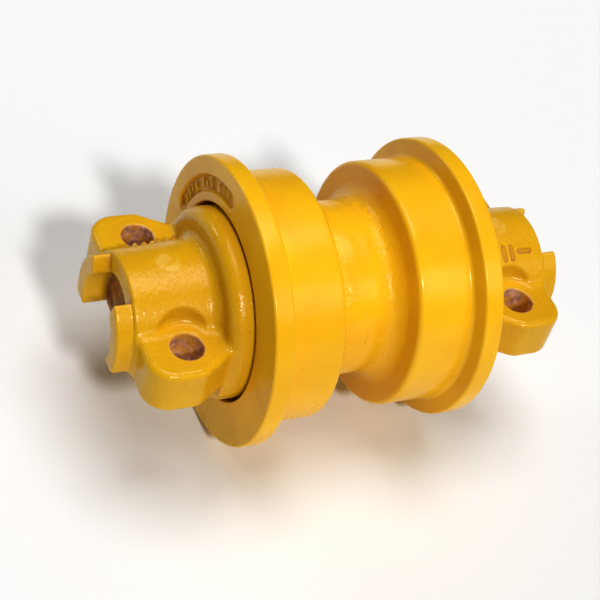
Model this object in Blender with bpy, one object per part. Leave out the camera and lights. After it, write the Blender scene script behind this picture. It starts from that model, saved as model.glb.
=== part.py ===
"""Track roller for a small crawler tractor: a double-flanged shell on a shaft held by two end collars.

Units are metres. The roller's axis lies along Y with the roller's middle at the origin. The collars' bolt
lugs show their bolt-head side to +Z and rest on the track frame with their -Z side.
"""

import math

import bmesh
import bpy
from mathutils import Matrix, Vector

MM = 0.001
GAP = 0.3 * MM  # clearance that neighbouring meshes keep
BEYOND = 5.0 * MM  # how far a cutting shape reaches past what it cuts
SMALL_CHAMFER = 1.0 * MM

# Shell: two equal halves welded together at the waist
FLANGE_R = 79.0 * MM
FLANGE_FACE_Y = 66.4 * MM
FLANGE_BACK_Y = 55.2 * MM
FLANGE_FOOT_Y = 54.0 * MM
FLANGE_EDGE = 1.4 * MM
TREAD_R = 68.65 * MM
TREAD_EDGE = 2.0 * MM
TREAD_INNER_Y = 21.4 * MM
TREAD_FILLET = 1.4 * MM
WAIST_R = 48.5 * MM
WAIST_FILLET = 9.0 * MM
RECESS_R = 54.4 * MM
RECESS_FLOOR_Y = 50.0 * MM
SEAL_SEAT_R = 44.2 * MM
SEAL_SEAT_FLOOR_Y = 38.0 * MM
BUSHING_BOSS_R = 34.5 * MM
BUSHING_BOSS_Y = 52.0 * MM
BUSHING_SEAT_R = 29.3 * MM
OIL_CHAMBER_R = 33.5 * MM
OIL_CHAMBER_Y = 10.0 * MM
SEAM_Y = -3.0 * MM  # the weld runs a little to the -Y side of the middle
WELD_ROOT_R = 40.0 * MM
WELD_ROOT_HALF = 1.5 * MM
WELD_TOP_HALF = 4.1 * MM
WELD_CROWN = 0.3 * MM
POCKET_R = (59.0 * MM, 69.0 * MM)
POCKET_DEPTH = 2.5 * MM
POCKET_ANGLES = (-80.0, -5.0)  # degrees from +Z towards +X

# Shaft
SHAFT_R = 22.0 * MM
JOURNAL_R = 24.0 * MM
JOURNAL_Y = 55.5 * MM
SHAFT_END_Y = 119.8 * MM
SHAFT_CHAMFER = 1.5 * MM
SHAFT_FLAT_Z = -10.0 * MM
SHAFT_FLAT_Y = 79.7 * MM
OIL_BORE_R = 4.0 * MM
OIL_CROSS_R = 3.0 * MM
PLUG_R = 8.0 * MM
PLUG_LENGTH = 12.0 * MM
PLUG_FLOOR_Y = SHAFT_END_Y - PLUG_LENGTH - 1.0 * MM
PLUG_SOCKET_R = 3.6 * MM
PLUG_SOCKET_DEPTH = 5.0 * MM
PLUG_SUNK = 0.5 * MM
O_RING_Y = 72.0 * MM
O_RING_GROOVE = (4.6 * MM, 19.2 * MM)  # width, bottom radius
O_RING_WIRE_R = 1.2 * MM

# Bushings
BUSHING_BORE_R = JOURNAL_R + GAP
BUSHING_OUTER_R = BUSHING_SEAT_R - GAP
BUSHING_INNER_Y = 14.0 * MM
BUSHING_FLANGE_R = 33.8 * MM
BUSHING_FACE_Y = 55.4 * MM

# Collars
COLLAR_BORE_R = SHAFT_R + GAP
COLLAR_THRUST_Y = 55.8 * MM
COLLAR_LIP_Y = 51.5 * MM
COLLAR_CUP_FLOOR_Y = 63.5 * MM
COLLAR_CUP_INNER_R = 35.0 * MM
COLLAR_RIM_R = 52.2 * MM
COLLAR_RIM_EDGE = 7.0 * MM
COLLAR_WALL_Y = 77.6 * MM
HUB_FOOT_R = 35.5 * MM
HUB_FILLET = 6.0 * MM
HUB_END_R = 34.0 * MM
HUB_END_Y = 123.4 * MM
HUB_EDGE = 1.6 * MM
END_RING_R = 32.3 * MM
END_RING_Y = 132.8 * MM
END_RING_EDGE = 1.5 * MM
GAP_NARROW = (12.0 * MM, 11.0 * MM)  # half width of the end ring's upper gap, and its height
GAP_WIDE = (23.2 * MM, 42.0 * MM)
SEAT_Z = -10.3 * MM  # mating face on the track frame
SEAT_FROM_Y = 78.0 * MM
LUG_TOP_Z = 14.8 * MM
LUG_ROOT_X = 28.0 * MM  # inside the hub
LUG_SIDE_X = 60.3 * MM
LUG_OUTER_Y = 122.6 * MM
LUG_CORNER_R = 14.0 * MM
LUG_SHOULDER_R = 10.5 * MM
LUG_SHOULDER_Y = 98.0 * MM
LUG_NECK_X = 49.0 * MM  # where the lug's side meets the collar's wall
LUG_NECK_TAPER = 2.0 * MM
LUG_SHOULDER_TURN = -33.0  # degrees
LUG_EDGE_ANGLE = math.radians(60.0)
LUG_TOP_EDGE = 3.5 * MM
HOLE_X = 41.1 * MM
HOLE_Y = 99.1 * MM
HOLE_R = 8.75 * MM
SPOTFACE_R = 17.5 * MM

# Lock pins
PIN_Y = 99.1 * MM
PIN_R = 4.9 * MM
PIN_HOLE_R = PIN_R + GAP
PIN_BOTTOM_Z = -9.4 * MM
PIN_TOP_Z = 30.4 * MM

# Floating seals
SEAL_INNER_R = 36.6 * MM
SEAL_BODY_R = 39.2 * MM
SEAL_TAIL_R = 38.6 * MM
SEAL_LIP_R = 43.2 * MM
SEAL_FACE_Y = 51.25 * MM  # plane where the two metal rings run on each other
SEAL_LIP_THICK = 3.0 * MM
SEAL_DEPTH = 11.2 * MM
TORIC_R = 41.7 * MM
TORIC_WIRE_R = 2.1 * MM
TORIC_OFFSET = 7.4 * MM

SHARP_ANGLE = math.radians(35.0)
SHELL_STEPS = 56
COLLAR_STEPS = 48
INNER_STEPS = 30
WIRE_STEPS = 6
POCKET_STEPS = 12
HOLE_STEPS = 24
PIN_STEPS = 16


def clear_scene():
    for obj in list(bpy.data.objects):
        bpy.data.objects.remove(obj, do_unlink=True)


def material(name, colour, roughness, metallic):
    found = bpy.data.materials.get(name)
    if found:
        return found
    mat = bpy.data.materials.new(name)
    mat.use_nodes = True
    shader = mat.node_tree.nodes["Principled BSDF"]
    shader.inputs["Base Color"].default_value = (*colour, 1.0)
    shader.inputs["Roughness"].default_value = roughness
    shader.inputs["Metallic"].default_value = metallic
    return mat


def shell_paint():
    return material("shell_paint", (0.90, 0.52, 0.03), 0.32, 0.0)


def collar_paint():
    return material("collar_paint", (0.90, 0.52, 0.03), 0.34, 0.0)


def weld_paint():
    return material("weld_paint", (0.88, 0.50, 0.03), 0.38, 0.0)


def shaft_steel():
    return material("shaft_steel", (0.16, 0.09, 0.07), 0.55, 0.8)


def ground_steel():
    return material("ground_steel", (0.55, 0.55, 0.56), 0.25, 1.0)


def plug_steel():
    return material("plug_steel", (0.35, 0.34, 0.33), 0.4, 1.0)


def pin_steel():
    return material("pin_steel", (0.30, 0.29, 0.28), 0.45, 1.0)


def bronze():
    return material("bronze", (0.60, 0.40, 0.17), 0.35, 1.0)


def black_rubber():
    return material("black_rubber", (0.02, 0.02, 0.02), 0.6, 0.0)


def arc(centre, radius, start, end, steps):
    """Points on an arc about centre, in degrees: 0 points along the first axis and 90 along the second."""
    points = []
    for i in range(steps + 1):
        angle = math.radians(start + (end - start) * i / steps)
        points.append((centre[0] + radius * math.cos(angle), centre[1] + radius * math.sin(angle)))
    return points


def shade(mesh):
    """Shade a mesh smooth, but for its real edges."""
    mesh.shade_smooth()
    mesh.set_sharp_from_angle(angle=SHARP_ANGLE)


def finish(name, bm, mat):
    """Turn a bmesh into a named, shaded object with its own material."""
    bmesh.ops.remove_doubles(bm, verts=bm.verts, dist=1e-6)
    bmesh.ops.recalc_face_normals(bm, faces=bm.faces)
    mesh = bpy.data.meshes.new(name)
    bm.to_mesh(mesh)
    bm.free()
    mesh.materials.append(mat)
    shade(mesh)
    obj = bpy.data.objects.new(name, mesh)
    bpy.context.scene.collection.objects.link(obj)
    return obj


def turned(name, outline, steps, mat, side=1.0):
    """Spin an outline of (y, r) points about the Y axis; side -1 mirrors it to the -Y end.

    A ring's outline closes on itself; a solid bar's starts and ends on the axis, at r = 0.
    """
    bm = bmesh.new()
    verts = [bm.verts.new((0.0, side * y, r)) for y, r in outline]
    pairs = list(zip(verts, verts[1:]))
    if outline[0][1] > 0.0:
        pairs.append((verts[-1], verts[0]))
    edges = [bm.edges.new(pair) for pair in pairs]
    bmesh.ops.spin(bm, geom=verts + edges, cent=(0, 0, 0), axis=(0, 1, 0), angle=math.tau,
                   steps=steps, use_merge=True)
    return finish(name, bm, mat)


def prism(name, outline, low, high, mat):
    """Extrude a closed outline of (x, y) points from z = low to z = high."""
    bm = bmesh.new()
    base = bm.faces.new([bm.verts.new((x, y, low)) for x, y in outline])
    raised = bmesh.ops.extrude_face_region(bm, geom=[base])
    lifted = [item for item in raised["geom"] if isinstance(item, bmesh.types.BMVert)]
    bmesh.ops.translate(bm, verts=lifted, vec=(0, 0, high - low))
    return finish(name, bm, mat)


def block(name, near_y, far_y, top):
    """A cutting block that takes off everything below z = top between two y positions."""
    low, high = sorted((near_y, far_y))
    outline = [(-FLANGE_R, low), (FLANGE_R, low), (FLANGE_R, high), (-FLANGE_R, high)]
    return prism(name, outline, -FLANGE_R, top, shaft_steel())


def rod(name, radius, low, high, place, steps, mat):
    """A round bar along Z from low to high, standing at place = (x, y)."""
    return prism(name, arc(place, radius, 0, 360, steps)[:-1], low, high, mat)


def laid_along_y(obj, side=1.0):
    """Lay a shape drawn in (x, z) and extruded along its third axis so that it runs out along side * Y."""
    obj.data.transform(Matrix(((1, 0, 0, 0), (0, 0, side, 0), (0, 1, 0, 0), (0, 0, 0, 1))))
    if side > 0:
        obj.data.flip_normals()
    return obj


def cut(target, cutter, operation="DIFFERENCE"):
    """Apply a Boolean and drop the tool shape."""
    boolean = target.modifiers.new(operation.lower(), "BOOLEAN")
    boolean.operation = operation
    boolean.object = cutter
    graph = bpy.context.evaluated_depsgraph_get()
    result = bpy.data.meshes.new_from_object(target.evaluated_get(graph))
    shade(result)
    target.modifiers.clear()
    target.data = result
    bpy.data.objects.remove(cutter, do_unlink=True)


def shell_outline(seam):
    """Section of one shell half at the +Y side, as (y, r), starting at the waist's edge beside the weld."""
    outer = [(seam + WELD_TOP_HALF, WAIST_R)]
    outer += arc((TREAD_INNER_Y - WAIST_FILLET, WAIST_R + WAIST_FILLET), WAIST_FILLET, -90, 0, 4)
    outer += arc((TREAD_INNER_Y + TREAD_EDGE, TREAD_R - TREAD_EDGE), TREAD_EDGE, 180, 90, 2)
    outer += [(FLANGE_FOOT_Y - TREAD_FILLET, TREAD_R), (FLANGE_FOOT_Y, TREAD_R + TREAD_FILLET)]
    outer += [(FLANGE_BACK_Y, FLANGE_R)]
    outer += arc((FLANGE_FACE_Y - FLANGE_EDGE, FLANGE_R - FLANGE_EDGE), FLANGE_EDGE, 90, 0, 2)
    recess = [(FLANGE_FACE_Y, RECESS_R), (RECESS_FLOOR_Y, RECESS_R)]
    seat = [(RECESS_FLOOR_Y, SEAL_SEAT_R), (SEAL_SEAT_FLOOR_Y, SEAL_SEAT_R)]
    boss = [(SEAL_SEAT_FLOOR_Y, BUSHING_BOSS_R), (BUSHING_BOSS_Y, BUSHING_BOSS_R)]
    bore = [(BUSHING_BOSS_Y, BUSHING_SEAT_R), (OIL_CHAMBER_Y, BUSHING_SEAT_R)]
    middle = [(OIL_CHAMBER_Y, OIL_CHAMBER_R), (seam + GAP / 2, OIL_CHAMBER_R)]
    groove = [(seam + GAP / 2, WELD_ROOT_R), (seam + WELD_ROOT_HALF, WELD_ROOT_R)]
    return outer + recess + seat + boss + bore + middle + groove


def pocket_cutter(side):
    """Curved pocket with round ends, sunk into a flange's outer face."""
    inner, outer = POCKET_R
    middle = (inner + outer) / 2
    half = (outer - inner) / 2
    margin = math.degrees(half / middle)
    start, end = POCKET_ANGLES[0] + margin, POCKET_ANGLES[1] - margin
    points = []
    for i in range(POCKET_STEPS + 1):
        angle = math.radians(start + (end - start) * i / POCKET_STEPS)
        points.append((outer * math.sin(angle), outer * math.cos(angle)))
    points += round_end(end, middle, half, 1.0)
    for i in range(POCKET_STEPS + 1):
        angle = math.radians(end + (start - end) * i / POCKET_STEPS)
        points.append((inner * math.sin(angle), inner * math.cos(angle)))
    points += round_end(start, middle, half, -1.0)
    floor = FLANGE_FACE_Y - POCKET_DEPTH
    cutter = prism("pocket_cutter", points, floor, FLANGE_FACE_Y + BEYOND, shell_paint())
    return laid_along_y(cutter, side)


def round_end(angle, middle, half, way):
    """Points round the pocket's end at angle, from its outer side to its inner side when way is +1."""
    radians = math.radians(angle)
    centre = Vector((middle * math.sin(radians), middle * math.cos(radians)))
    outward = Vector((math.sin(radians), math.cos(radians)))
    along = Vector((math.cos(radians), -math.sin(radians)))
    points = []
    for i in range(1, 4):
        turn = math.pi * i / 4
        offset = outward * math.cos(turn) * half * way + along * math.sin(turn) * half * way
        points.append(tuple(centre + offset))
    return points


def make_shell(name, side):
    shell = turned(name, shell_outline(side * SEAM_Y), SHELL_STEPS, shell_paint(), side)
    cut(shell, pocket_cutter(side))
    return shell


def make_weld():
    """Bead that fills the V groove between the shell halves, with a low crown."""
    top = WELD_TOP_HALF - GAP
    root = WELD_ROOT_HALF - GAP
    crown = WAIST_R + WELD_CROWN
    bead = [(SEAM_Y - top, WAIST_R), (SEAM_Y - root, WELD_ROOT_R + GAP), (SEAM_Y + root, WELD_ROOT_R + GAP),
            (SEAM_Y + top, WAIST_R), (SEAM_Y + top / 2, crown), (SEAM_Y - top / 2, crown)]
    return turned("weld_seam", bead, SHELL_STEPS, weld_paint())


def make_shaft():
    width, bottom = O_RING_GROOVE
    half = []
    half += [(JOURNAL_Y, JOURNAL_R), (JOURNAL_Y, SHAFT_R)]
    half += [(O_RING_Y - width / 2, SHAFT_R), (O_RING_Y - width / 2, bottom)]
    half += [(O_RING_Y + width / 2, bottom), (O_RING_Y + width / 2, SHAFT_R)]
    half += [(SHAFT_END_Y - SHAFT_CHAMFER, SHAFT_R), (SHAFT_END_Y, SHAFT_R - SHAFT_CHAMFER)]
    far = half + [(SHAFT_END_Y, 0.0)]
    near = [(-SHAFT_END_Y, 0.0)] + [(-y, r) for y, r in reversed(half)]
    shaft = turned("shaft", near + far, COLLAR_STEPS, shaft_steel())
    for side in (-1.0, 1.0):
        beyond_end = side * (SHAFT_END_Y + BEYOND)
        cut(shaft, block("flat_cutter", side * SHAFT_FLAT_Y, beyond_end, SHAFT_FLAT_Z))
        pin_place = (0, side * PIN_Y)
        cut(shaft, rod("pin_cutter", PIN_HOLE_R, -FLANGE_R, FLANGE_R, pin_place, PIN_STEPS, shaft_steel()))
    low = PLUG_FLOOR_Y
    high = SHAFT_END_Y + BEYOND
    counterbore = rod("counterbore", PLUG_R + GAP, low, high, (0, 0), HOLE_STEPS, shaft_steel())
    oil_bore = rod("oil_bore", OIL_BORE_R, -2 * OIL_CROSS_R, high, (0, 0), PIN_STEPS, shaft_steel())
    cut(shaft, laid_along_y(counterbore))
    cut(shaft, laid_along_y(oil_bore))
    cut(shaft, rod("oil_cross", OIL_CROSS_R, -FLANGE_R, FLANGE_R, (0, 0), PIN_STEPS, shaft_steel()))


def make_plug():
    """Filler plug with a hexagon socket, screwed into the +Y end of the shaft."""
    low = SHAFT_END_Y - PLUG_LENGTH
    high = SHAFT_END_Y - PLUG_SUNK
    plug = laid_along_y(rod("oil_plug", PLUG_R, low, high, (0, 0), HOLE_STEPS, plug_steel()))
    floor = SHAFT_END_Y - PLUG_SOCKET_DEPTH
    socket = rod("socket", PLUG_SOCKET_R, floor, SHAFT_END_Y + BEYOND, (0, 0), 6, plug_steel())
    cut(plug, laid_along_y(socket))


def make_bushing(name, side):
    outline = [(BUSHING_INNER_Y, BUSHING_BORE_R), (BUSHING_INNER_Y, BUSHING_OUTER_R - SMALL_CHAMFER),
               (BUSHING_INNER_Y + SMALL_CHAMFER, BUSHING_OUTER_R), (BUSHING_BOSS_Y + GAP, BUSHING_OUTER_R),
               (BUSHING_BOSS_Y + GAP, BUSHING_FLANGE_R), (BUSHING_FACE_Y, BUSHING_FLANGE_R),
               (BUSHING_FACE_Y, BUSHING_BORE_R)]
    return turned(name, outline, INNER_STEPS, bronze(), side)


def make_seal_ring(name, side, way):
    """Metal face-seal ring; way +1 reaches outboard from the running face, -1 inboard."""
    face = SEAL_FACE_Y + way * GAP / 2
    shoulder = face + way * SEAL_LIP_THICK
    back = face + way * SEAL_DEPTH
    outline = [(face, SEAL_INNER_R), (face, SEAL_LIP_R), (shoulder, SEAL_LIP_R),
               (shoulder + way * SMALL_CHAMFER, SEAL_BODY_R), (back, SEAL_TAIL_R), (back, SEAL_INNER_R)]
    return turned(name, outline, INNER_STEPS, ground_steel(), side)


def make_wire_ring(name, side, y, radius, wire):
    """Round-section rubber ring."""
    outline = arc((y, radius), wire, 0, 360, WIRE_STEPS)[:-1]
    return turned(name, outline, INNER_STEPS, black_rubber(), side)


def make_pin(name, side):
    """Pin driven in from the mating side, through the shaft and into the hub's roof."""
    return rod(name, PIN_R, PIN_BOTTOM_Z, PIN_TOP_Z, (0, side * PIN_Y), PIN_STEPS, pin_steel())


def collar_outline():
    """Half section of a collar at the +Y side: seal cup, rim, hub and end ring, as (y, r)."""
    rim = [(COLLAR_LIP_Y, SEAL_SEAT_R), (COLLAR_LIP_Y, COLLAR_RIM_R - SMALL_CHAMFER),
           (COLLAR_LIP_Y + SMALL_CHAMFER, COLLAR_RIM_R)]
    rim += arc((COLLAR_WALL_Y - COLLAR_RIM_EDGE, COLLAR_RIM_R - COLLAR_RIM_EDGE), COLLAR_RIM_EDGE, 90, 0, 5)
    hub = arc((COLLAR_WALL_Y + HUB_FILLET, HUB_FOOT_R + HUB_FILLET), HUB_FILLET, 180, 270, 4)
    hub += arc((HUB_END_Y - HUB_EDGE, HUB_END_R - HUB_EDGE), HUB_EDGE, 90, 0, 3)
    ring = [(HUB_END_Y, END_RING_R), (END_RING_Y - END_RING_EDGE, END_RING_R),
            (END_RING_Y, END_RING_R - END_RING_EDGE), (END_RING_Y, COLLAR_BORE_R)]
    cup = [(COLLAR_THRUST_Y, COLLAR_BORE_R), (COLLAR_THRUST_Y, COLLAR_CUP_INNER_R),
           (COLLAR_CUP_FLOOR_Y, COLLAR_CUP_INNER_R), (COLLAR_CUP_FLOOR_Y, SEAL_SEAT_R)]
    return rim + hub + ring + cup


def lug_outline(x_side, y_side):
    """Plan of one bolt lug, from inside the hub out to the rounded outer corner and back to the rim."""
    wall = COLLAR_WALL_Y - BEYOND
    points = [(LUG_ROOT_X, wall), (LUG_ROOT_X, LUG_OUTER_Y)]
    points += arc((LUG_SIDE_X - LUG_CORNER_R, LUG_OUTER_Y - LUG_CORNER_R), LUG_CORNER_R, 90, 0, 6)
    points += arc((LUG_SIDE_X - LUG_SHOULDER_R, LUG_SHOULDER_Y), LUG_SHOULDER_R, 0, LUG_SHOULDER_TURN, 2)
    points += [(LUG_NECK_X, COLLAR_WALL_Y), (LUG_NECK_X - LUG_NECK_TAPER, wall)]
    return [(x_side * x, y_side * y) for x, y in points]


def add_lug(collar, x_side, y_side):
    lug = prism("lug", lug_outline(x_side, y_side), SEAT_Z - BEYOND, LUG_TOP_Z, collar_paint())
    edge = lug.modifiers.new("top_edge", "BEVEL")
    edge.width = LUG_TOP_EDGE
    edge.segments = 3
    edge.limit_method = "ANGLE"
    edge.angle_limit = LUG_EDGE_ANGLE
    cut(collar, lug, "UNION")


def cut_gap(collar, side):
    """Open the end ring at its top, with walls that spread outwards."""
    outline = [(-GAP_NARROW[0], GAP_NARROW[1]), (GAP_NARROW[0], GAP_NARROW[1]),
               (GAP_WIDE[0], GAP_WIDE[1]), (-GAP_WIDE[0], GAP_WIDE[1])]
    cutter = prism("gap_cutter", outline, HUB_END_Y, END_RING_Y + BEYOND, collar_paint())
    cut(collar, laid_along_y(cutter, side))


def make_collar(name, side):
    collar = turned(name, collar_outline(), COLLAR_STEPS, collar_paint(), side)
    for x_side in (-1.0, 1.0):
        add_lug(collar, x_side, side)
    for x_side in (-1.0, 1.0):
        place = (x_side * HOLE_X, side * HOLE_Y)
        cut(collar, rod("spotface", SPOTFACE_R, LUG_TOP_Z, FLANGE_R, place, HOLE_STEPS, collar_paint()))
        cut(collar, rod("bolt_hole", HOLE_R, -FLANGE_R, FLANGE_R, place, HOLE_STEPS, collar_paint()))
    place = (0, side * PIN_Y)
    pin_top = PIN_TOP_Z + GAP
    cut(collar, rod("pin_hole", PIN_HOLE_R, -FLANGE_R, pin_top, place, PIN_STEPS, collar_paint()))
    cut(collar, block("seat_cutter", side * SEAT_FROM_Y, side * (END_RING_Y + BEYOND), SEAT_Z))
    cut_gap(collar, side)


def under_axle(objects):
    """Hang the turning pieces on an empty that lies on the wheel's axis."""
    axle = bpy.data.objects.new("roller_axis", None)
    bpy.context.scene.collection.objects.link(axle)
    for obj in objects:
        obj.parent = axle


def main():
    clear_scene()
    turning = [make_weld()]
    make_shaft()
    make_plug()
    for label, side in (("near", -1.0), ("far", 1.0)):
        make_collar(f"collar_{label}", side)
        make_pin(f"lock_pin_{label}", side)
        make_wire_ring(f"shaft_o_ring_{label}", side, O_RING_Y, O_RING_GROOVE[1] + GAP + O_RING_WIRE_R,
                       O_RING_WIRE_R)
        make_seal_ring(f"seal_ring_fixed_{label}", side, 1.0)
        make_wire_ring(f"seal_toric_fixed_{label}", side, SEAL_FACE_Y + TORIC_OFFSET, TORIC_R, TORIC_WIRE_R)
        turning += [
            make_shell(f"shell_{label}", side),
            make_bushing(f"bushing_{label}", side),
            make_seal_ring(f"seal_ring_turning_{label}", side, -1.0),
            make_wire_ring(f"seal_toric_turning_{label}", side, SEAL_FACE_Y - TORIC_OFFSET, TORIC_R,
                           TORIC_WIRE_R),
        ]
    under_axle(turning)


main()
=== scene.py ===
"""Looks of the track roller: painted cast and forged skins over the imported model, the studio and the camera.

The frame is the part's: metres, the roller's axis along Y, the lugs' bolt-head side towards +Z.
"""

import math

import bpy
import numpy as np
from mathutils import Matrix, Vector

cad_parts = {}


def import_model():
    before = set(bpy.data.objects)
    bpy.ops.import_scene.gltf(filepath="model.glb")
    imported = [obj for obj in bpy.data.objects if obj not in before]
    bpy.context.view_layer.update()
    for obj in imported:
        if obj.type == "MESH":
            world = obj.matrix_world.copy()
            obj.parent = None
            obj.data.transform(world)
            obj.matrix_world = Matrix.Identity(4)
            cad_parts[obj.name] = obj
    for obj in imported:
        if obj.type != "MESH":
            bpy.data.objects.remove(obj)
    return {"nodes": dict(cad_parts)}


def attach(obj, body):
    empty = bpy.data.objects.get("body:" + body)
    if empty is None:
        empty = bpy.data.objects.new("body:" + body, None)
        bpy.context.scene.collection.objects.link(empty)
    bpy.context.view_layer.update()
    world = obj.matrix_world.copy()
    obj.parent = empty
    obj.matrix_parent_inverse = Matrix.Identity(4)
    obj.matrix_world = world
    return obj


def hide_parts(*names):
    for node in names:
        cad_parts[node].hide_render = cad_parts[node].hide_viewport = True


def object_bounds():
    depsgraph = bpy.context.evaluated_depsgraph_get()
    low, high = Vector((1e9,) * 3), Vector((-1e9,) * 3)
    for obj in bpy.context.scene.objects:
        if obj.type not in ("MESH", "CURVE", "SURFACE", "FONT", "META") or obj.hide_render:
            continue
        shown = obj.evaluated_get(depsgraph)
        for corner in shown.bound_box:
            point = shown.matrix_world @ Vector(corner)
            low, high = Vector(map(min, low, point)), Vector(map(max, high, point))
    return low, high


MM = 0.001

# Shell section, as in the part
FLANGE_R = 79.0 * MM
FLANGE_FACE_Y = 66.4 * MM
FLANGE_BACK_Y = 55.2 * MM
FLANGE_FOOT_Y = 54.0 * MM
TREAD_R = 68.65 * MM
TREAD_INNER_Y = 21.4 * MM
WAIST_R = 48.5 * MM
WAIST_FILLET = 9.0 * MM
RECESS_R = 54.4 * MM
RECESS_FLOOR_Y = 50.0 * MM
SEAL_SEAT_R = 44.2 * MM
SEAL_SEAT_FLOOR_Y = 38.0 * MM
BUSHING_BOSS_R = 34.5 * MM
BUSHING_BOSS_Y = 52.0 * MM
BUSHING_SEAT_R = 29.3 * MM
OIL_CHAMBER_R = 33.5 * MM
OIL_CHAMBER_Y = 10.0 * MM
SEAM_Y = -3.0 * MM
WELD_ROOT_R = 40.0 * MM
WELD_ROOT_HALF = 1.5 * MM
WELD_TOP_HALF = 4.1 * MM
WELD_LAP = 1.0 * MM
GAP = 0.3 * MM
POCKET_R = (59.3 * MM, 68.7 * MM)
POCKET_DEPTH = 2.5 * MM
POCKET_ANGLES = (-78.5, -6.5)  # degrees from +Z towards +X
BAR_FIRST = -70.0  # degrees, the first raised bar on the pocket's floor
BAR_STEP = 5.0  # degrees
BAR_PLACES = 12
BARS_LEFT_OUT = (4, 8)
BAR_HALF_WIDTH = 0.9 * MM
BAR_HALF_LENGTH = 2.1 * MM
BAR_LONGER = 0.6 * MM
BAR_SHIFT = 0.7 * MM
BAR_HEIGHT = 1.7 * MM
TREAD_EDGE = 2.8 * MM
FOOT_FILLET = 2.6 * MM
FOOT_FILLET_BACK = 2.4 * MM
BACK_EDGE = 1.5 * MM
BACK_EDGE_IN = 1.6 * MM
FACE_EDGE = 1.4 * MM
RECESS_EDGE = 0.8 * MM
WAVE_SEEDS = {"near": 7, "far": 3}
TURN_STEPS = 480
WELD_CROWN = 0.11 * MM
WELD_BASE = 0.10 * MM
WELD_RIPPLES = 90
WELD_RIPPLE_BEND = 2.4
WELD_RIPPLE_HEIGHT = 0.025 * MM

# Collar
BORE_R = 22.3 * MM
THRUST_Y = 55.8 * MM
LIP_Y = 51.5 * MM
CUP_FLOOR_Y = 63.5 * MM
CUP_INNER_R = 35.0 * MM
RIM_R = 52.2 * MM
RIM_EDGE = 7.0 * MM
WALL_Y = 77.6 * MM
HUB_FOOT_R = 35.5 * MM
HUB_FILLET = 6.0 * MM
HUB_END_R = 34.0 * MM
HUB_END_Y = 123.4 * MM
HUB_EDGE = 1.6 * MM
END_RING_R = 32.3 * MM
END_RING_Y = 132.8 * MM
GAP_NARROW = (12.0 * MM, 11.0 * MM)
GAP_WIDE = (23.2 * MM, 42.0 * MM)
SEAT_Z = -10.3 * MM
SEAT_FROM_Y = 78.0 * MM
LUG_TOP_Z = 14.8 * MM
LUG_FOOT_Z = -22.0 * MM
LUG_ROOT_X = 19.0 * MM
LUG_ROOT_Y = 71.0 * MM
LUG_SIDE_X = 60.3 * MM
LUG_OUTER_Y = 122.6 * MM
LUG_CORNER_R = 14.0 * MM
LUG_SHOULDER_R = 10.5 * MM
LUG_SHOULDER_Y = 98.0 * MM
LUG_SHOULDER_TURN = -33  # degrees
LUG_NECK_X = 49.0 * MM
LUG_NECK_TAPER = 2.0 * MM
LUG_EDGE = 3.5 * MM
HOLE = (41.1 * MM, 99.1 * MM)
HOLE_R = 8.75 * MM
SPOTFACE_R = 17.5 * MM
SCOOP_FILLET = 4.0 * MM
SCOOP_LIFT = 0.4 * MM
PIN_HOLE_R = 5.2 * MM
PIN_HOLE_TOP_Z = 30.7 * MM
LIP_EDGE = 0.8 * MM
RING_EDGE = 1.5 * MM
BORE_EDGE = 0.6 * MM
LUG_FILLET = 4.0 * MM
NOTCH_EDGE = 1.6 * MM
NOTCH_LEAN = 0.94  # cosine of the notch flanks' lean
HOLE_EDGE = 1.0 * MM
SEAT_EDGE = 0.8 * MM
MARK_FILLET = 0.8 * MM

# Plain marks on the hubs
PIP_R = 1.5 * MM
PIP_FIRST_Y = 85.5 * MM
PIP_STEP = 4.3 * MM
PIP_COUNT = 7
PIP_FARTHEST_X = 26.0 * MM
BAR_R = 1.25 * MM
LONG_BARS_Y = (97.0 * MM, 102.0 * MM)
LONG_BAR_TURN = (26, 37)  # degrees from +Z towards +X
CROSS_BAR_TURN = 31
CROSS_BAR_Y = (107.0 * MM, 114.0 * MM)

# Skins' sampling
COLLAR_STEP = 0.7 * MM

# Camera, fitted to the part
CAMERA_AT = (0.49779, -0.35928, 0.55479)
CAMERA_RIGHT = (0.3716, 0.9007, 0.2249)
CAMERA_UP = (-0.7066, 0.1173, 0.6978)
CAMERA_LENS = 89.38
CAMERA_SENSOR = 36.0

# Studio: each lamp's direction, strength and width in degrees
LAMPS = {
    "overhead": ((-0.12, 0.10, 1.0), 1.80, 40.0),
    "key": ((0.74, -0.04, 0.66), 1.75, 7.0),
    "side": ((0.66, 0.50, 0.55), 0.35, 24.0),
    "back": ((-0.72, -0.50, 0.42), 0.40, 12.0),
}
DISPLAY_GAMMA = 0.74
WORLD_STRENGTH = 0.02
FLOOR_HALF = 6.0
FLOOR_DROP = 0.2 * MM
FLOOR_TONES = ((0.88, 0.88, 0.88, 1), (0.90, 0.90, 0.90, 1))

# Paint, as linear red, green and blue
PAINT = (0.96, 0.575, 0.018)
PAINT_MOTTLED = (0.91, 0.525, 0.016)
PAINT_DEEP = (0.83, 0.465, 0.015)
# Dark orange for hollows and creases: partly settled paint and dust, partly painted shade.
SETTLED_PAINT_AND_SHADE = (0.50, 0.20, 0.014, 1)
PAINT_SPECK = (0.30, 0.12, 0.02, 1)
# Pale yellow for exposed edges: partly thin worn paint, partly painted highlight.
THIN_PAINT_AND_HIGHLIGHT = (0.97, 0.74, 0.28, 1)
PRIMER_DARK = (0.44, 0.23, 0.15, 1)
PRIMER_LIGHT = (0.82, 0.54, 0.38, 1)
OVERSPRAY = (0.72, 0.38, 0.04, 1)
PAINT_GLOSS = (0.19, 0.28)
PAINT_SPECULAR = 0.32
COLLAR_TONE = 0.82


# ---------------------------------------------------------------- geometry

def smoothstep(low, high, value):
    t = np.clip((value - low) / (high - low), 0.0, 1.0)
    return t * t * (3.0 - 2.0 * t)


def smooth_min(a, b, k):
    """Union of two distance fields with a fillet of about k."""
    h = np.maximum(k - np.abs(a - b), 0.0) / k
    return np.minimum(a, b) - h * h * k * 0.25


def smooth_max(a, b, k):
    return -smooth_min(-a, -b, k)


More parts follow.
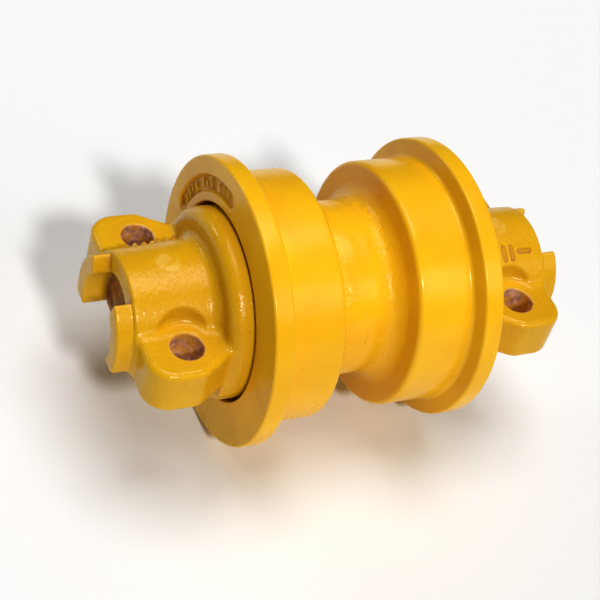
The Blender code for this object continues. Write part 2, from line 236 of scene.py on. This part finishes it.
def arc(centre, radius, start, end, steps):
    """Points on an arc about centre, in degrees."""
    angles = np.radians(np.linspace(start, end, steps + 1))
    return [(centre[0] + radius * math.cos(a), centre[1] + radius * math.sin(a)) for a in angles]


def refined(outline, longest):
    """A closed outline with no side longer than longest."""
    points = []
    for here, there in zip(outline, outline[1:] + outline[:1]):
        length = math.dist(here, there)
        parts = max(1, math.ceil(length / longest))
        for i in range(parts):
            t = i / parts
            points.append((here[0] + (there[0] - here[0]) * t, here[1] + (there[1] - here[1]) * t))
    return points


def polygon_distance(outline, u, v):
    """Signed distance of the points (u, v) to a closed outline, negative inside."""
    nearest = np.full(u.shape, 1e9)
    inside = np.zeros(u.shape, bool)
    for (u0, v0), (u1, v1) in zip(outline, outline[1:] + outline[:1]):
        du, dv = u1 - u0, v1 - v0
        t = np.clip(((u - u0) * du + (v - v0) * dv) / (du * du + dv * dv), 0.0, 1.0)
        nearest = np.minimum(nearest, (u - u0 - t * du) ** 2 + (v - v0 - t * dv) ** 2)
        if dv != 0.0:
            crosses = (v0 <= v) != (v1 <= v)
            inside ^= crosses & (u < u0 + (v - v0) / dv * du)
    return np.where(inside, -1.0, 1.0) * np.sqrt(nearest)


def tabled(outline, low, high, step):
    """Fast stand-in for polygon_distance: a table read by linear interpolation."""
    us = np.arange(low[0], high[0] + step, step)
    vs = np.arange(low[1], high[1] + step, step)
    table = polygon_distance(outline, *np.meshgrid(us, vs, indexing="ij"))

    def read(u, v):
        i = np.clip((u - low[0]) / step, 0, len(us) - 1.001)
        j = np.clip((v - low[1]) / step, 0, len(vs) - 1.001)
        i0, j0 = i.astype(int), j.astype(int)
        fi, fj = i - i0, j - j0
        near = table[i0, j0] * (1 - fj) + table[i0, j0 + 1] * fj
        far = table[i0 + 1, j0] * (1 - fj) + table[i0 + 1, j0 + 1] * fj
        return near * (1 - fi) + far * fi

    return read


def surface_net(field, low, high, step):
    """Vertices and quads of field's zero surface, from samples every step between two corners."""
    axes = [np.arange(low[a], high[a] + step, step) for a in range(3)]
    values = field(*np.meshgrid(*axes, indexing="ij", sparse=True))
    inside = values < 0.0
    nx, ny, nz = (count - 1 for count in inside.shape)
    corners = sum(inside[i:nx + i, j:ny + j, k:nz + k].astype(int)
                  for i in (0, 1) for j in (0, 1) for k in (0, 1))
    active = (corners > 0) & (corners < 8)
    cells = np.argwhere(active)
    index = np.full(active.shape, -1)
    index[active] = np.arange(len(cells))
    total = np.zeros((len(cells), 3))
    hits = np.zeros(len(cells))
    for axis in range(3):
        one, two = [a for a in range(3) if a != axis]
        for i in (0, 1):
            for j in (0, 1):
                start = np.zeros(3, int)
                start[one], start[two] = i, j
                end = start.copy()
                end[axis] = 1
                a = values[tuple((cells + start).T)]
                b = values[tuple((cells + end).T)]
                hit = (a < 0.0) != (b < 0.0)
                t = a[hit] / (a[hit] - b[hit])
                total[hit] += start + (end - start) * t[:, None]
                hits[hit] += 1
    verts = np.array(low) + step * (cells + total / hits[:, None])
    quads = []
    for axis in range(3):
        one, two = [(1, 2), (2, 0), (0, 1)][axis]
        before = np.take(inside, range(inside.shape[axis] - 1), axis)
        after = np.take(inside, range(1, inside.shape[axis]), axis)
        edges = np.argwhere(before != after)
        step_one, step_two = np.zeros(3, int), np.zeros(3, int)
        step_one[one], step_two[two] = 1, 1
        ring = [edges - step_one - step_two, edges - step_two, edges, edges - step_one]
        quad = np.stack([index[tuple(r.T)] for r in ring], axis=1)
        outward = before[tuple(edges.T)]
        quads.append(np.where(outward[:, None], quad, quad[:, ::-1]))
    verts = settle(field, verts, step)
    return verts, np.concatenate(quads)


def slope(field, verts, reach):
    """Gradient of a field at each vertex."""
    x, y, z = verts.T
    return np.stack([field(x + reach, y, z) - field(x - reach, y, z),
                     field(x, y + reach, z) - field(x, y - reach, z),
                     field(x, y, z + reach) - field(x, y, z - reach)], axis=1) / (2 * reach)


def settle(field, verts, step):
    """Move vertices onto the field's zero surface."""
    for _ in range(2):
        gradient = slope(field, verts, 0.1 * step)
        size = np.maximum((gradient ** 2).sum(1), 0.25)
        move = -(field(*verts.T) / size)[:, None] * gradient
        length = np.linalg.norm(move, axis=1, keepdims=True)
        verts = verts + move * np.minimum(1.0, 0.4 * step / np.maximum(length, 1e-9))
    return verts


def hollows(field, verts, reach):
    """How enclosed each vertex is, 0 on open ground and 1 in a deep corner, and how exposed on an edge."""
    normal = slope(field, verts, 0.2 * MM)
    normal /= np.maximum(np.linalg.norm(normal, axis=1, keepdims=True), 1e-6)
    above = field(*(verts + normal * reach).T) / reach
    below = -field(*(verts - normal * reach * 0.5).T) / (reach * 0.5)
    return np.clip(1.0 - above, 0.0, 1.0), np.clip(1.0 - below, 0.0, 1.0)


def add_mesh(name, verts, faces, mat, body, **layers):
    """Smooth mesh object that rides on a body, with one point attribute for each layer."""
    mesh = bpy.data.meshes.new(name)
    mesh.from_pydata(verts.tolist(), [], faces.tolist())
    for layer, values in layers.items():
        attribute = mesh.attributes.new(layer, "FLOAT", "POINT")
        attribute.data.foreach_set("value", np.asarray(values, np.float32))
    mesh.materials.append(mat)
    mesh.shade_smooth()
    obj = bpy.data.objects.new(name, mesh)
    bpy.context.scene.collection.objects.link(obj)
    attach(obj, body)
    return obj


def turned(outline, steps, side, shape=None):
    """Vertices and quads of a closed (y, r) outline turned about Y; shape moves each (y, r) by its angle."""
    y = np.array([p[0] for p in outline])
    r = np.array([p[1] for p in outline])
    count = len(outline)
    angle = np.linspace(0.0, math.tau, steps, endpoint=False)
    y, r, a = (grid.ravel() for grid in np.broadcast_arrays(y[None, :], r[None, :], angle[:, None]))
    if shape:
        y, r = shape(y, r, a)
    verts = np.stack([r * np.sin(a), side * y, r * np.cos(a)], axis=1)
    i, j = np.meshgrid(np.arange(steps), np.arange(count), indexing="ij")
    here, there = i * count, (i + 1) % steps * count
    following = (j + 1) % count
    quads = np.stack([here + j, here + following, there + following, there + j], axis=-1).reshape(-1, 4)
    return verts, quads if side > 0 else quads[:, ::-1]


# ---------------------------------------------------------------- shell halves

def shell_outline(side):
    """Section of one shell half as (y, r), with its cast and machined edges rounded."""
    seam = side * SEAM_Y
    outer = [(seam + WELD_TOP_HALF, WAIST_R), (seam + WELD_TOP_HALF + 0.2 * MM, WAIST_R)]
    outer += arc((TREAD_INNER_Y - WAIST_FILLET, WAIST_R + WAIST_FILLET), WAIST_FILLET, -90, 0, 14)
    outer += arc((TREAD_INNER_Y + TREAD_EDGE, TREAD_R - TREAD_EDGE), TREAD_EDGE, 180, 90, 8)
    outer += arc((FLANGE_FOOT_Y - FOOT_FILLET_BACK, TREAD_R + FOOT_FILLET), FOOT_FILLET, 270, 354, 8)
    outer += arc((FLANGE_BACK_Y + BACK_EDGE_IN, FLANGE_R - BACK_EDGE), BACK_EDGE, 174, 90, 6)
    outer += arc((FLANGE_FACE_Y - FACE_EDGE, FLANGE_R - FACE_EDGE), FACE_EDGE, 90, 0, 6)
    recess = arc((FLANGE_FACE_Y - RECESS_EDGE, RECESS_R + RECESS_EDGE), RECESS_EDGE, 0, -90, 3)
    recess += [(RECESS_FLOOR_Y, RECESS_R), (RECESS_FLOOR_Y, SEAL_SEAT_R), (SEAL_SEAT_FLOOR_Y, SEAL_SEAT_R)]
    boss = [(SEAL_SEAT_FLOOR_Y, BUSHING_BOSS_R), (BUSHING_BOSS_Y, BUSHING_BOSS_R)]
    bore = [(BUSHING_BOSS_Y, BUSHING_SEAT_R), (OIL_CHAMBER_Y, BUSHING_SEAT_R)]
    middle = [(OIL_CHAMBER_Y, OIL_CHAMBER_R), (seam + GAP / 2, OIL_CHAMBER_R)]
    groove = [(seam + GAP / 2, WELD_ROOT_R), (seam + WELD_ROOT_HALF, WELD_ROOT_R)]
    return outer + recess + boss + bore + middle + groove


def in_pocket(r, angle):
    """Distance into the flange face's curved pocket, in metres, positive inside."""
    middle = (POCKET_R[0] + POCKET_R[1]) / 2
    half = (POCKET_R[1] - POCKET_R[0]) / 2
    margin = half / middle
    start, end = np.radians(POCKET_ANGLES[0]) + margin, np.radians(POCKET_ANGLES[1]) - margin
    turn = (angle + math.pi) % math.tau - math.pi
    past = np.maximum(np.maximum(start - turn, turn - end), 0.0) * middle
    return half - np.hypot(past, r - middle)


def pocket_marks(r, angle):
    """Height of the plain raised bars on the pocket's floor."""
    height = np.zeros_like(r)
    middle = (POCKET_R[0] + POCKET_R[1]) / 2
    turn = np.degrees((angle + math.pi) % math.tau - math.pi)
    for number in range(BAR_PLACES):
        if number in BARS_LEFT_OUT:
            continue
        centre = BAR_FIRST + BAR_STEP * number
        along = np.abs(np.radians(turn - centre)) * middle
        across = np.abs(r - middle - BAR_SHIFT * (number % 3 - 1))
        reach = BAR_HALF_LENGTH + BAR_LONGER * (number % 2)
        bar = np.maximum(along - BAR_HALF_WIDTH, across - reach)
        height = np.maximum(height, 1.0 - smoothstep(-0.2 * MM, 0.6 * MM, bar))
    return height * BAR_HEIGHT


def waviness(y, r, angle, seed):
    """Slow unevenness of a forging, in metres."""
    rng = np.random.default_rng(seed)
    total = np.zeros_like(y)
    for _ in range(9):
        turns = rng.integers(2, 14)
        along = rng.uniform(60, 260)
        phase = rng.uniform(0, math.tau, 2)
        total += np.sin(turns * angle + phase[0]) * np.sin(along * y + phase[1])
    return total / 9


def make_shell(label, side, mat):
    outline = refined(shell_outline(side), 1.6 * MM)
    face = [p for p in outline if p[0] > FLANGE_FACE_Y - 1e-6]
    first = outline.index(face[0])
    fine = refined([face[0], face[-1]], 0.6 * MM)
    fine = fine[:fine.index(face[-1]) + 1]
    outline = outline[:first] + fine + outline[first + len(face):]
    seed = WAVE_SEEDS[label]

    def shape(y, r, angle):
        on_face = y > FLANGE_FACE_Y - 1e-6
        depth = smoothstep(-0.5 * MM, 1.4 * MM, in_pocket(r, angle))
        sunk = depth * POCKET_DEPTH - np.where(depth > 0.98, pocket_marks(r, angle), 0.0)
        rough = (r > RECESS_R + 2 * MM) & (r < TREAD_R - 1 * MM)
        wave = waviness(y, r, angle, seed) * np.where(rough, 0.16, 0.05) * MM
        outside = (y > -1.0) & (r > WAIST_R - 0.5 * MM) & (y < FLANGE_FACE_Y - 1 * MM)
        return y - np.where(on_face, sunk, 0.0), r + np.where(outside, wave, 0.0)

    verts, quads = turned(outline, TURN_STEPS, side, shape)
    y = side * verts[:, 1]
    r = np.hypot(verts[:, 0], verts[:, 2])
    angle = np.arctan2(verts[:, 0], verts[:, 2])
    pocket = smoothstep(-0.8 * MM, 1.2 * MM, in_pocket(r, angle)) * (y > FLANGE_FACE_Y - 4 * MM)
    field = tabled(shell_outline(side), (-12 * MM, 20 * MM), (74 * MM, 90 * MM), 0.4 * MM)
    # Hollowness feeds painted shade in the paint; edge exposure feeds a painted highlight.
    crevice, edge = hollows(lambda x, y, z: field(side * y, np.hypot(x, z)), verts, 6 * MM)
    # Painted shade: the pocket's floor is darkened on top of the hollows, less on the raised bars.
    floor = np.clip(1.0 - (FLANGE_FACE_Y - y) / POCKET_DEPTH, 0.0, 1.0)
    crevice = np.maximum(crevice, pocket * (0.72 - 0.9 * floor))
    forged = 1.6 * smoothstep(6 * MM, 12 * MM, y) * (1.0 - smoothstep(16 * MM, TREAD_INNER_Y, y))
    forged = forged * (r < TREAD_R)
    recessed = (y > SEAL_SEAT_FLOOR_Y - 1 * MM) & (y < FLANGE_FACE_Y - 1.5 * MM)
    inner = ((r < RECESS_R + 0.6 * MM) & recessed).astype(float)
    shell = add_mesh(f"shell_skin_{label}", verts, quads, mat, "roller", crevice=crevice, edge=edge,
                     rough=forged + pocket, bare=inner)
    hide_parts(f"shell_{label}")
    return shell


def make_weld(mat):
    """Low bead with overlapping ripples, lapping a hair over both shell halves."""
    half = WELD_TOP_HALF + WELD_LAP
    root = WELD_ROOT_HALF - GAP
    crown = [(SEAM_Y - t * half, WAIST_R + WELD_CROWN * math.cos(math.pi * t) + WELD_BASE)
             for t in np.linspace(-1, 1, 25)]
    outline = [(SEAM_Y - root, WELD_ROOT_R + GAP), (SEAM_Y + root, WELD_ROOT_R + GAP)]
    outline = refined([(float(y), float(r)) for y, r in crown] + outline, 1.5 * MM)

    def shape(y, r, angle):
        beat = np.sin(angle * WELD_RIPPLES + ((y - SEAM_Y) / half) ** 2 * WELD_RIPPLE_BEND)
        return y, r + np.where(r > WAIST_R, beat * WELD_RIPPLE_HEIGHT, 0.0)

    verts, quads = turned(outline, TURN_STEPS, 1.0, shape)
    flat = np.zeros(len(verts))
    weld = add_mesh("weld_bead", verts, quads, mat, "roller", crevice=flat, edge=flat,
                    rough=flat + 0.2, bare=flat)
    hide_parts("weld_seam")


# ---------------------------------------------------------------- collars

def collar_outline():
    """Section of a collar as (y, r): rim, hub, end ring, bore and seal cup."""
    rim = [(LIP_Y, SEAL_SEAT_R), (LIP_Y, RIM_R - LIP_EDGE), (LIP_Y + LIP_EDGE, RIM_R)]
    rim += arc((WALL_Y - RIM_EDGE, RIM_R - RIM_EDGE), RIM_EDGE, 90, 0, 12)
    hub = arc((WALL_Y + HUB_FILLET, HUB_FOOT_R + HUB_FILLET), HUB_FILLET, 180, 268, 10)
    hub += arc((HUB_END_Y - HUB_EDGE, HUB_END_R - HUB_EDGE), HUB_EDGE, 88, 0, 6)
    ring = [(HUB_END_Y, END_RING_R)]
    ring += arc((END_RING_Y - RING_EDGE, END_RING_R - RING_EDGE), RING_EDGE, 90, 0, 5)
    ring += [(END_RING_Y, BORE_R + BORE_EDGE), (END_RING_Y - BORE_EDGE, BORE_R)]
    cup = [(THRUST_Y, BORE_R), (THRUST_Y, CUP_INNER_R)]
    cup += [(CUP_FLOOR_Y, CUP_INNER_R), (CUP_FLOOR_Y, SEAL_SEAT_R)]
    return rim + hub + ring + cup


def lug_plan():
    """Plan of the +X, +Y bolt lug, starting inside the hub."""
    points = [(LUG_ROOT_X, LUG_ROOT_Y), (LUG_ROOT_X, LUG_OUTER_Y)]
    points += arc((LUG_SIDE_X - LUG_CORNER_R, LUG_OUTER_Y - LUG_CORNER_R), LUG_CORNER_R, 90, 0, 10)
    shoulder = (LUG_SIDE_X - LUG_SHOULDER_R, LUG_SHOULDER_Y)
    points += arc(shoulder, LUG_SHOULDER_R, 0, LUG_SHOULDER_TURN, 4)
    return points + [(LUG_NECK_X, WALL_Y), (LUG_NECK_X - LUG_NECK_TAPER, LUG_ROOT_Y)]


def dots(points, radius):
    """Field of small round pips at the given points."""
    def field(x, y, z):
        total = np.inf
        for px, py, pz in points:
            total = np.minimum(total, np.sqrt((x - px) ** 2 + (y - py) ** 2 + (z - pz) ** 2) - radius)
        return total
    return field


def bars(ends, radius):
    """Field of plain round-ended bars, each between two points."""
    def field(x, y, z):
        total = np.inf
        for start, end in ends:
            start, end = np.array(start), np.array(end)
            run = end - start
            along = (x - start[0]) * run[0] + (y - start[1]) * run[1] + (z - start[2]) * run[2]
            t = np.clip(along / run.dot(run), 0.0, 1.0)
            away = (x - start[0] - t * run[0]) ** 2 + (y - start[1] - t * run[1]) ** 2
            total = np.minimum(total, np.sqrt(away + (z - start[2] - t * run[2]) ** 2) - radius)
        return total
    return field


def collar_field(raised):
    """Distance field of the +Y collar; raised is the field of its cast marks."""
    section = tabled(collar_outline(), (44 * MM, 14 * MM), (138 * MM, 84 * MM), 0.25 * MM)
    plan = tabled(lug_plan(), (-1 * MM, 62 * MM), (70 * MM, 132 * MM), 0.25 * MM)
    middle = (LUG_TOP_Z + LUG_FOOT_Z) / 2
    half = (LUG_TOP_Z - LUG_FOOT_Z) / 2
    widening = (GAP_WIDE[0] - GAP_NARROW[0]) / (GAP_WIDE[1] - GAP_NARROW[1])

    def field(x, y, z):
        r = np.hypot(x, z)
        across = np.abs(x)
        hub = section(*np.broadcast_arrays(y, r))
        to_hole = np.hypot(across - HOLE[0], y - HOLE[1])
        side = plan(*np.broadcast_arrays(across, y)) + LUG_EDGE
        height = np.abs(z - middle) - half + LUG_EDGE
        lug = np.minimum(np.maximum(side, height), 0.0) - LUG_EDGE
        lug = lug + np.hypot(np.maximum(side, 0.0), np.maximum(height, 0.0))
        body = smooth_min(hub, lug, LUG_FILLET)
        out = to_hole - SPOTFACE_R + SCOOP_FILLET
        down = LUG_TOP_Z + SCOOP_LIFT + SCOOP_FILLET - z
        scoop = np.hypot(np.maximum(out, 0.0), np.maximum(down, 0.0)) - SCOOP_FILLET
        scoop = scoop + np.minimum(np.maximum(out, down), 0.0)
        body = smooth_max(body, -scoop, HOLE_EDGE)
        body = smooth_min(body, raised(x, y, z), MARK_FILLET)
        body = np.maximum(body, BORE_R - r)
        seat = np.maximum(SEAT_FROM_Y - y, z - SEAT_Z)
        body = smooth_max(body, -seat, SEAT_EDGE)
        body = smooth_max(body, HOLE_R - to_hole, HOLE_EDGE)
        spread = GAP_NARROW[0] + (z - GAP_NARROW[1]) * widening
        notch = np.maximum(np.maximum(HUB_END_Y - y, (across - spread) * NOTCH_LEAN), GAP_NARROW[1] - z)
        body = smooth_max(body, -notch, NOTCH_EDGE)
        pin = np.maximum(np.hypot(x, y - HOLE[1]) - PIN_HOLE_R, z - PIN_HOLE_TOP_Z)
        return np.maximum(body, -pin)

    return field


def on_hub(angle, y):
    """Point on the +Y hub's surface at an angle from +Z towards +X, in degrees."""
    r = HUB_FOOT_R + (HUB_END_R - HUB_FOOT_R) * (y - WALL_Y) / (HUB_END_Y - WALL_Y)
    return (r * math.sin(math.radians(angle)), y, r * math.cos(math.radians(angle)))


def scoop_rim(y):
    """Point on the -X side of the +Y hub, on the edge of the scoop or in line with it."""
    reach = max(SPOTFACE_R ** 2 - (y - HOLE[1]) ** 2, 0.0) ** 0.5
    x = -min(HOLE[0] - reach, PIP_FARTHEST_X)
    r = on_hub(0, y)[2]
    return (x, y, (r * r - x * x) ** 0.5)


def make_collar(label, side, raised, step, mat):
    field = collar_field(raised)
    low = (-62 * MM, 50 * MM, -54 * MM)
    high = (62 * MM, 135 * MM, 54 * MM)
    verts, quads = surface_net(field, low, high, step)
    # Hollowness feeds painted shade in the paint; edge exposure feeds a painted highlight.
    crevice, edge = hollows(field, verts, 7 * MM)
    # Painted shade in tight creases and fillets, from a short reach.
    crevice = np.maximum(crevice, 1.2 * hollows(field, verts, 1.4 * MM)[0] - 0.1)
    x, y, z = verts.T
    # Painted shade on and around the raised pips and bars, which makes them read dark.
    crevice = np.maximum(crevice, 1.3 - 1.3 * smoothstep(0.2 * MM, 1.0 * MM, raised(x, y, z)))
    r = np.hypot(x, z)
    hole = np.hypot(np.abs(x) - HOLE[0], y - HOLE[1])
    in_hole = 1.0 - smoothstep(HOLE_R + 0.1 * MM, HOLE_R + 0.9 * MM, hole)
    in_bore = 1.0 - smoothstep(BORE_R + 0.15 * MM, BORE_R + 0.8 * MM, r)
    in_bore = in_bore * (y < END_RING_Y - 0.5 * MM)
    bare = np.maximum(in_hole, in_bore * (y < 120 * MM))
    verts = verts * np.array([1.0, side, 1.0])
    quads = quads if side > 0 else quads[:, ::-1]
    collar = add_mesh(f"collar_skin_{label}", verts, quads, mat, "support",
                      crevice=crevice, edge=edge, rough=np.ones(len(verts)), bare=bare)
    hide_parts(f"collar_{label}")
    return collar


# ---------------------------------------------------------------- materials

class Nodes:
    """Short way to build a material's node tree."""

    def __init__(self, name):
        self.mat = bpy.data.materials.new(name)
        self.mat.use_nodes = True
        self.tree = self.mat.node_tree
        self.shader = self.tree.nodes["Principled BSDF"]
        self.place = self.add("ShaderNodeTexCoord").outputs["Object"]

    def add(self, kind, **inputs):
        node = self.tree.nodes.new(kind)
        for name, value in inputs.items():
            self.feed(node.inputs[name.replace("_", " ")], value)
        return node

    def feed(self, socket, value):
        if isinstance(value, bpy.types.NodeSocket):
            self.tree.links.new(value, socket)
        else:
            socket.default_value = value

    def noise(self, scale, detail=3.0, roughness=0.55):
        node = self.add("ShaderNodeTexNoise", Scale=scale, Detail=detail, Roughness=roughness)
        self.feed(node.inputs["Vector"], self.place)
        return node.outputs["Fac"]

    def ramp(self, value, low, high, start=0.0, end=1.0):
        node = self.add("ShaderNodeMapRange")
        node.interpolation_type = "SMOOTHSTEP"
        names = ("Value", "From Min", "From Max", "To Min", "To Max")
        for name, item in zip(names, (value, low, high, start, end)):
            self.feed(node.inputs[name], item)
        return node.outputs["Result"]

    def math(self, operation, one, two=0.0):
        node = self.tree.nodes.new("ShaderNodeMath")
        node.operation = operation
        self.feed(node.inputs[0], one)
        self.feed(node.inputs[1], two)
        return node.outputs["Value"]

    def mix(self, factor, one, two):
        node = self.tree.nodes.new("ShaderNodeMix")
        node.data_type = "RGBA"
        self.feed(node.inputs["Factor"], factor)
        self.feed(node.inputs["A"], one)
        self.feed(node.inputs["B"], two)
        return node.outputs["Result"]

    def layer(self, name):
        node = self.tree.nodes.new("ShaderNodeAttribute")
        node.attribute_name = name
        return node.outputs["Fac"]

    def bump(self, height, distance, strength=1.0, normal=None):
        node = self.add("ShaderNodeBump", Height=height, Distance=distance, Strength=strength)
        if normal:
            self.feed(node.inputs["Normal"], normal)
        return node.outputs["Normal"]

    def finish(self, colour, roughness, metallic, normal=None, **fixed):
        self.feed(self.shader.inputs["Base Color"], colour)
        self.feed(self.shader.inputs["Roughness"], roughness)
        self.feed(self.shader.inputs["Metallic"], metallic)
        if normal:
            self.feed(self.shader.inputs["Normal"], normal)
        for name, value in fixed.items():
            self.shader.inputs[name.replace("_", " ")].default_value = value
        return self.mat


def yellow_paint(name, cast, tone):
    """Glossy yellow enamel with painted shade in its hollows and a painted highlight on its edges; cast is how
    lumpy the metal under it is, tone scales its brightness.
    """
    def toned(red, green, blue):
        return (red * tone, green * tone, blue * tone, 1)

    n = Nodes(name)
    crevice, edge, rough, bare = (n.layer(layer) for layer in ("crevice", "edge", "rough", "bare"))
    colour = n.mix(n.ramp(n.noise(28.0, 2.0), 0.35, 0.65), toned(*PAINT), toned(*PAINT_MOTTLED))
    colour = n.mix(n.math("MULTIPLY", n.ramp(n.noise(9.0), 0.45, 0.7), 0.4), colour, toned(*PAINT_DEEP))
    # Painted shade: hollows and creases are darkened towards a dark orange, partly real settled paint and
    # dust.
    settled_paint_and_shade = n.math("MULTIPLY", n.ramp(crevice, 0.45, 1.0), n.ramp(n.noise(120.0, 5.0), 0.2, 0.7, 0.45, 1.0))
    colour = n.mix(n.math("MULTIPLY", settled_paint_and_shade, 0.6), colour, SETTLED_PAINT_AND_SHADE)
    speck = n.math("MULTIPLY", n.ramp(n.noise(650.0, 2.0), 0.70, 0.76), n.ramp(n.noise(22.0), 0.5, 0.62))
    colour = n.mix(n.math("MULTIPLY", speck, 0.55), colour, PAINT_SPECK)
    # Painted highlight: exposed edges are lightened to pale yellow, partly real thin worn paint.
    thin_paint_and_highlight = n.math("MULTIPLY", n.ramp(edge, 0.50, 0.95), n.ramp(n.noise(180.0), 0.35, 0.65))
    colour = n.mix(n.math("MULTIPLY", thin_paint_and_highlight, 0.35), colour, THIN_PAINT_AND_HIGHLIGHT)
    primer = n.mix(n.ramp(n.noise(320.0, 4.0), 0.35, 0.65), PRIMER_DARK, PRIMER_LIGHT)
    overspray = n.math("MULTIPLY", n.ramp(n.noise(140.0, 3.0), 0.43, 0.58), 0.85)
    primer = n.mix(overspray, primer, OVERSPRAY)
    colour = n.mix(bare, colour, primer)
    gloss = n.ramp(n.noise(60.0), 0.3, 0.7, *PAINT_GLOSS)
    gloss = n.math("ADD", gloss, n.math("MULTIPLY", settled_paint_and_shade, 0.25))
    gloss = n.math("MAXIMUM", gloss, n.math("MULTIPLY", bare, 0.7))
    peel = n.bump(n.noise(700.0, 2.0), 0.00012, 0.5)
    lumps = n.bump(n.math("MULTIPLY", n.noise(300.0, 4.0), rough), 0.0006 * cast, 0.6, peel)
    pits = n.math("MULTIPLY", n.ramp(n.noise(420.0, 1.0), 0.26, 0.34), rough)
    normal = n.bump(pits, 0.00025 * cast, 0.5, lumps)
    return n.finish(colour, gloss, 0.0, normal, Specular_IOR_Level=PAINT_SPECULAR)


def turned_steel(name, dark, light, streak):
    """Lathe-turned or ground steel with light rust."""
    n = Nodes(name)
    y = n.add("ShaderNodeSeparateXYZ", Vector=n.place).outputs["Y"]
    rust = n.ramp(n.noise(150.0, 5.0), 0.4, 0.62)
    colour = n.mix(rust, light, dark)
    rings = n.math("SINE", n.math("MULTIPLY", y, streak))
    normal = n.bump(rings, 0.00002, 0.4, n.bump(n.noise(500.0, 4.0), 0.0001, 0.5))
    roughness = n.math("ADD", n.math("MULTIPLY", rust, 0.3), 0.5)
    return n.finish(colour, roughness, n.ramp(rust, 0.0, 1.0, 0.85, 0.25), normal)


def inner_metal(name, colour, roughness):
    """Machined metal in one colour with a faint mottle."""
    n = Nodes(name)
    darker = tuple(0.6 * c for c in colour[:3]) + (1,)
    shade = n.mix(n.ramp(n.noise(90.0), 0.35, 0.65, 0.0, 0.5), colour, darker)
    return n.finish(shade, n.ramp(n.noise(200.0), 0.3, 0.7, roughness, roughness + 0.12), 1.0,
                    n.bump(n.noise(700.0), 0.00003, 0.4))


def seal_rubber():
    """Matt black rubber."""
    n = Nodes("seal_rubber")
    shade = n.mix(n.noise(140.0), (0.012, 0.012, 0.013, 1), (0.03, 0.028, 0.027, 1))
    gloss = n.ramp(n.noise(80.0), 0.3, 0.7, 0.45, 0.65)
    return n.finish(shade, gloss, 0.0, n.bump(n.noise(600.0), 0.00005, 0.4))


# ---------------------------------------------------------------- studio

def add_lamp(name, direction, strength, spread):
    """Distant soft lamp that shines on the part from a direction; spread is its width in degrees."""
    lamp = bpy.data.lights.new(name, "SUN")
    lamp.energy = strength
    lamp.angle = math.radians(spread)
    obj = bpy.data.objects.new(name, lamp)
    bpy.context.scene.collection.objects.link(obj)
    away = Vector(direction).normalized()
    obj.location = away
    obj.rotation_euler = away.to_track_quat("Z", "Y").to_euler()


def make_studio(lowest):
    """Pale floor at a height, soft lamps and a nearly dark world."""
    scene = bpy.context.scene
    scene.view_settings.view_transform = "Standard"
    scene.view_settings.gamma = DISPLAY_GAMMA
    world = bpy.data.worlds.new("studio")
    scene.world = world
    world.use_nodes = True
    backdrop = world.node_tree.nodes["Background"]
    backdrop.inputs["Color"].default_value = (1.0, 1.0, 1.0, 1)
    backdrop.inputs["Strength"].default_value = WORLD_STRENGTH
    for name, (direction, strength, spread) in LAMPS.items():
        add_lamp(name, direction, strength, spread)
    corners = [(-1, -1), (1, -1), (1, 1), (-1, 1)]
    verts = [(x * FLOOR_HALF, y * FLOOR_HALF, lowest) for x, y in corners]
    mesh = bpy.data.meshes.new("floor")
    mesh.from_pydata(verts, [], [(0, 1, 2, 3)])
    n = Nodes("pale_floor")
    n.finish(n.mix(n.noise(1.2), *FLOOR_TONES), 0.9, 0.0, Specular_IOR_Level=0.0)
    mesh.materials.append(n.mat)
    floor = bpy.data.objects.new("floor", mesh)
    scene.collection.objects.link(floor)


def make_camera():
    """Camera from its place and its right and up directions."""
    camera = bpy.data.cameras.new("camera")
    camera.lens = CAMERA_LENS
    camera.sensor_width = CAMERA_SENSOR
    camera.clip_start, camera.clip_end = 0.01, 50.0
    obj = bpy.data.objects.new("camera", camera)
    bpy.context.scene.collection.objects.link(obj)
    right, up = Vector(CAMERA_RIGHT).normalized(), Vector(CAMERA_UP)
    back = right.cross(up).normalized()
    up = back.cross(right)
    obj.matrix_world = Matrix.Translation(CAMERA_AT) @ Matrix((right, up, back)).transposed().to_4x4()
    bpy.context.scene.camera = obj


# ---------------------------------------------------------------- main

def dress_inner_parts(nodes):
    """Procedural materials for the turned steel, bronze and rubber pieces that stay as the part made them."""
    steel = turned_steel("shaft_steel_aged", (0.20, 0.08, 0.02, 1), (0.42, 0.19, 0.02, 1), 9000.0)
    finishes = {
        "shaft": steel,
        "oil_plug": inner_metal("plug_zinc", (0.42, 0.40, 0.36, 1), 0.35),
        "lock_pin": inner_metal("pin_ground", (0.36, 0.35, 0.34, 1), 0.3),
        "bushing": inner_metal("bushing_bronze", (0.62, 0.38, 0.15, 1), 0.3),
        "seal_ring": inner_metal("seal_lapped", (0.55, 0.55, 0.56, 1), 0.2),
        "seal_toric": seal_rubber(),
        "shaft_o_ring": bpy.data.materials["seal_rubber"],
    }
    for name, obj in nodes.items():
        for prefix, mat in finishes.items():
            if name == prefix or name.startswith(prefix + "_"):
                for slot in obj.material_slots:
                    slot.material = mat


def main():
    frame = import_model()
    cad_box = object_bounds()
    shell_mat = yellow_paint("shell_enamel", 1.3, 1.0)
    collar_mat = yellow_paint("collar_enamel", 1.1, COLLAR_TONE)
    make_shell("near", -1.0, shell_mat)
    make_shell("far", 1.0, shell_mat)
    make_weld(yellow_paint("weld_enamel", 0.8, 1.0))
    step = COLLAR_STEP
    pips = dots([scoop_rim(PIP_FIRST_Y + PIP_STEP * i) for i in range(PIP_COUNT)], PIP_R)
    make_collar("near", -1.0, pips, step, collar_mat)
    ends = [tuple(on_hub(turn, y) for turn in LONG_BAR_TURN) for y in LONG_BARS_Y]
    ends.append(tuple(on_hub(CROSS_BAR_TURN, y) for y in CROSS_BAR_Y))
    make_collar("far", 1.0, bars(ends, BAR_R), step, collar_mat)
    dress_inner_parts(frame["nodes"])
    make_studio(cad_box[0][2] - FLOOR_DROP)
    make_camera()


main()
